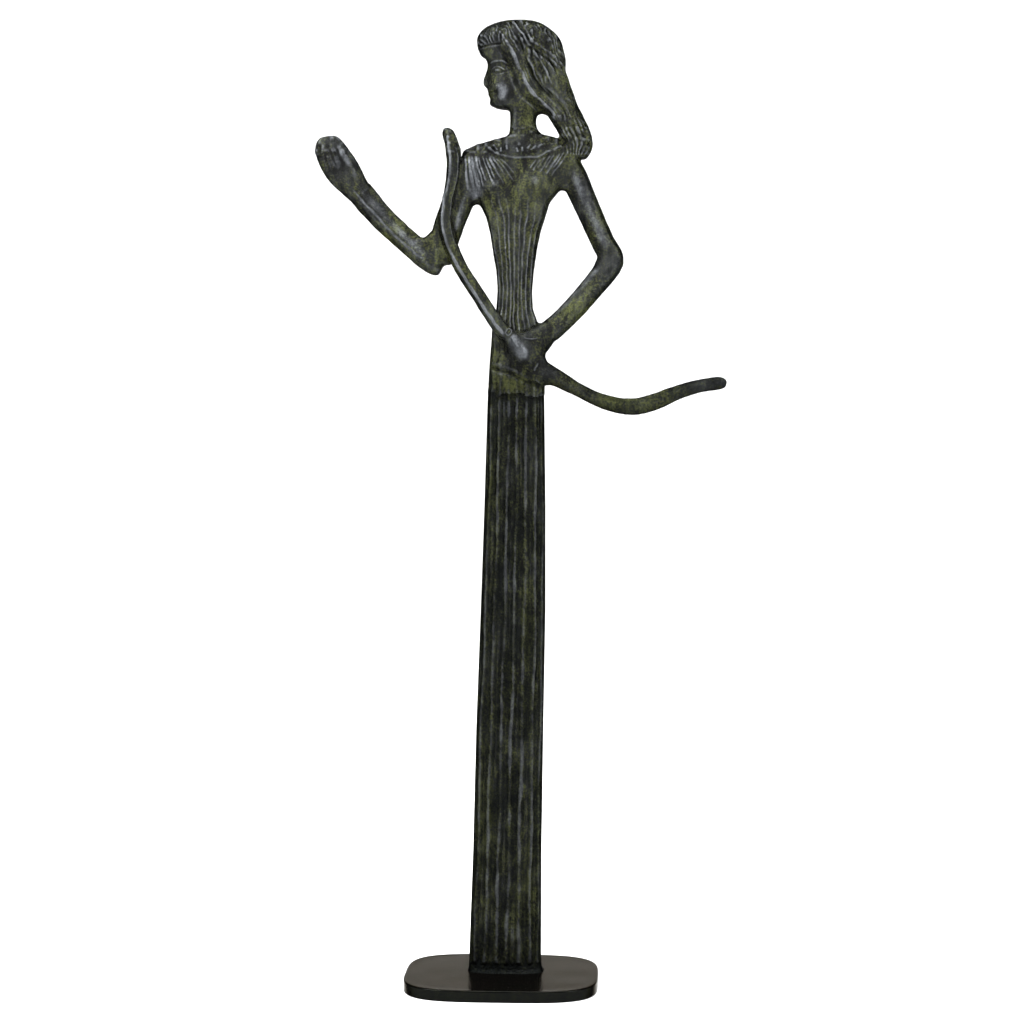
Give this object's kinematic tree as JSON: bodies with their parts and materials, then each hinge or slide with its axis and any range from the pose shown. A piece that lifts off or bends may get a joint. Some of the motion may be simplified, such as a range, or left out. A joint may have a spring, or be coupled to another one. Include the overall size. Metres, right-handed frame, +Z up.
{
  "type": "artemis statue",
  "caption": "Slim cast bronze statuette of a standing huntress in a pleated gown, with a raised hand and a bow held at the hip, on a thin rounded plate.",
  "frame": {"origin": "centre of the plate's underside", "axes": "+Z up, the figure's front towards -Y, +X towards the bow's free end"},
  "size_m": [0.1399, 0.05, 0.33],
  "materials": {
    "bronze_figure": "dark green-black patina with olive patches, waxed",
    "bronze_plate": "brown-black patina, waxed"
  },
  "bodies": {
    "root": {"figure": "bronze_figure", "base": "bronze_plate"}
  },
  "joints": []
}
